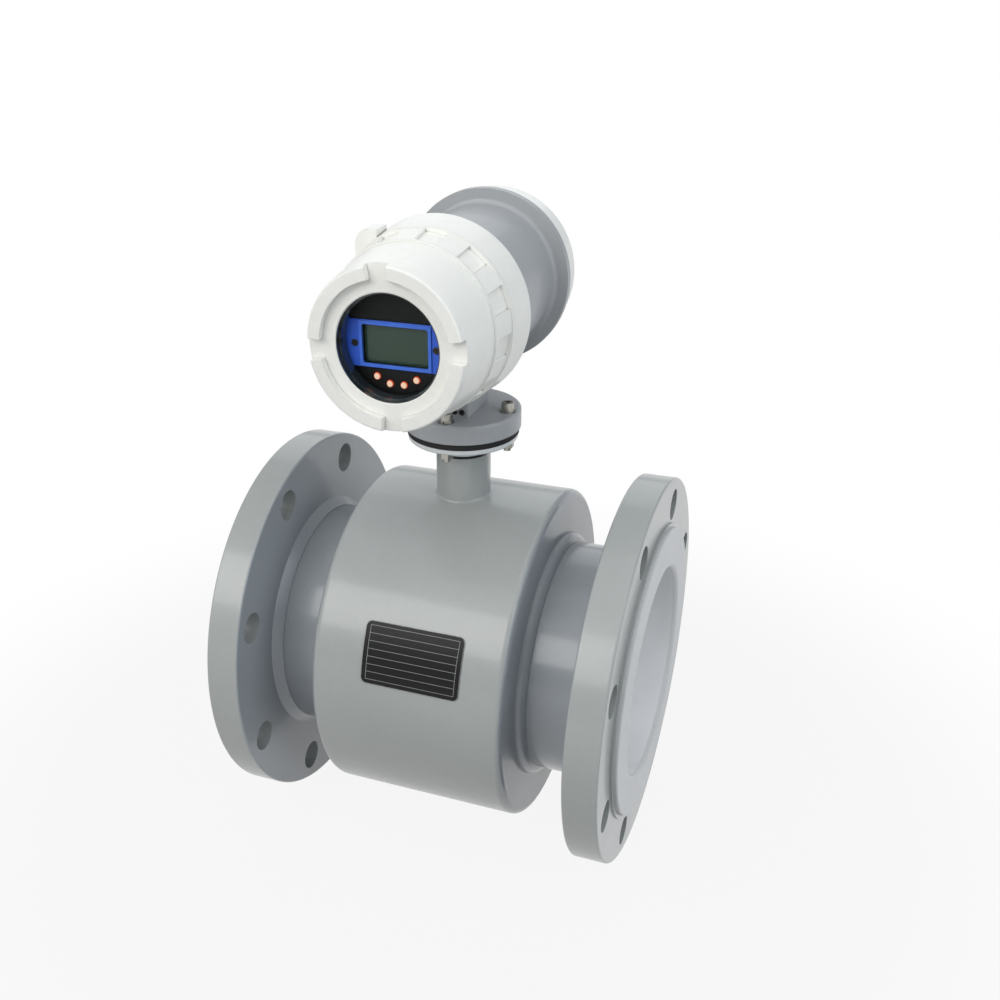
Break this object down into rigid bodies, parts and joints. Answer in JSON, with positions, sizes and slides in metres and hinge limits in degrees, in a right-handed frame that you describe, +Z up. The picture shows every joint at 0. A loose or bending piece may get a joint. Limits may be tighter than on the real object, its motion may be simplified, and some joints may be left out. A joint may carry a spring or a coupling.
{
  "type": "electromagnetic flow meter",
  "caption": "Flanged pipe meter with a round coil housing on its tube, a stem on top and a two-chamber converter head with a glazed display and screwed covers.",
  "frame": {"origin": "on the flow axis, halfway between the two liner faces", "axes": "+X along the flow from inlet to outlet, +Z up towards the converter head, -Y the side that the display and nameplate face"},
  "size_m": [0.29, 0.2794, 0.4595],
  "materials": {
    "grey_paint": "smooth grey paint with a soft gloss",
    "white_paint": "white powder coat with a soft gloss",
    "liner": "smooth pale PTFE",
    "copper": "enamelled copper wire",
    "bare_steel": "bare steel",
    "bush": "moulded insulator",
    "nameplate": "black anodised plate, left bare",
    "black_rubber": "black rubber",
    "bolt_steel": "bright plated steel",
    "dark_screw": "blackened steel",
    "window_ring": "glossy black moulding",
    "window_glass": "clear toughened glass",
    "panel": "black sheet with a fine satin",
    "blue_frame": "blue moulding",
    "lcd": "grey-green display glass",
    "spacer": "nylon",
    "button": "orange moulding",
    "switch": "black moulding",
    "moulded_case": "dark grey moulding",
    "circuit_board": "green solder mask",
    "transformer": "varnished core and winding",
    "terminal": "green moulding",
    "terminal_screw": "plated steel",
    "gland": "grey nylon"
  },
  "bodies": {
    "meter": {"measuring_pipe": "grey_paint", "inlet_flange": "grey_paint", "outlet_flange": "grey_paint", "housing_shell": "grey_paint", "housing_cap_inlet": "grey_paint", "housing_cap_outlet": "grey_paint", "stem": "grey_paint", "lower_flange": "grey_paint", "converter_body": "grey_paint", "collar": "white_paint", "liner": "liner", "coil_upper": "copper", "coil_lower": "copper", "flux_band": "bare_steel", "electrode_front": "bare_steel", "electrode_rear": "bare_steel", "electrode_nuts": "bare_steel", "electrode_bushes": "bush", "nameplate": "nameplate", "stem_seal": "black_rubber", "flange_gasket": "black_rubber", "gland_inserts": "black_rubber", "base_bolts": "bolt_steel", "base_washers": "bolt_steel", "base_spring_washers": "bolt_steel", "base_nuts": "bolt_steel", "module_screws": "bolt_steel", "board_screws": "bolt_steel", "pedestal_screws": "dark_screw", "frame_screws": "dark_screw", "display_panel": "panel", "display_frame": "blue_frame", "lcd": "lcd", "display_spacers": "spacer", "tact_switches": "switch", "electronics_case": "moulded_case", "main_board": "circuit_board", "display_board": "circuit_board", "transformer": "transformer", "terminal_block": "terminal", "terminal_screws": "terminal_screw", "gland_bodies": "gland", "gland_nuts": "gland"},
    "front_seal": {"front_seal": "black_rubber"},
    "front_cover": {"front_cover": "white_paint", "window_ring": "window_ring", "window_glass": "window_glass"},
    "rear_seal": {"rear_seal": "black_rubber"},
    "rear_cover": {"rear_cover": "white_paint"},
    "button_1": {"button_1": "button"},
    "button_2": {"button_2": "button"},
    "button_3": {"button_3": "button"},
    "button_4": {"button_4": "button"}
  },
  "joints": [
    {"name": "front_cover_travel", "type": "slide", "parent": "meter", "child": "front_seal", "axis": [0, -1, 0], "range_m": [0, 0.01]},
    {"name": "front_cover_turn", "type": "hinge", "parent": "front_seal", "child": "front_cover", "pos_m": [0, -0.06, 0.2614], "axis": [0, -1, 0], "range_deg": [0, 1800]},
    {"name": "rear_cover_travel", "type": "slide", "parent": "meter", "child": "rear_seal", "axis": [0, 1, 0], "range_m": [0, 0.01]},
    {"name": "rear_cover_turn", "type": "hinge", "parent": "rear_seal", "child": "rear_cover", "pos_m": [0, 0.06, 0.2614], "axis": [0, 1, 0], "range_deg": [0, 1800]},
    {"name": "button_1_press", "type": "slide", "parent": "meter", "child": "button_1", "axis": [0, 1, 0], "range_m": [0, 0.0005], "stiffness_N_per_m": 1500},
    {"name": "button_2_press", "type": "slide", "parent": "meter", "child": "button_2", "axis": [0, 1, 0], "range_m": [0, 0.0005], "stiffness_N_per_m": 1500},
    {"name": "button_3_press", "type": "slide", "parent": "meter", "child": "button_3", "axis": [0, 1, 0], "range_m": [0, 0.0005], "stiffness_N_per_m": 1500},
    {"name": "button_4_press", "type": "slide", "parent": "meter", "child": "button_4", "axis": [0, 1, 0], "range_m": [0, 0.0005], "stiffness_N_per_m": 1500}
  ],
  "couplings": [
    {"joint": "front_cover_travel", "follows": "front_cover_turn", "m_per_rad": 0.0003183},
    {"joint": "rear_cover_travel", "follows": "rear_cover_turn", "m_per_rad": 0.0003183}
  ]
}
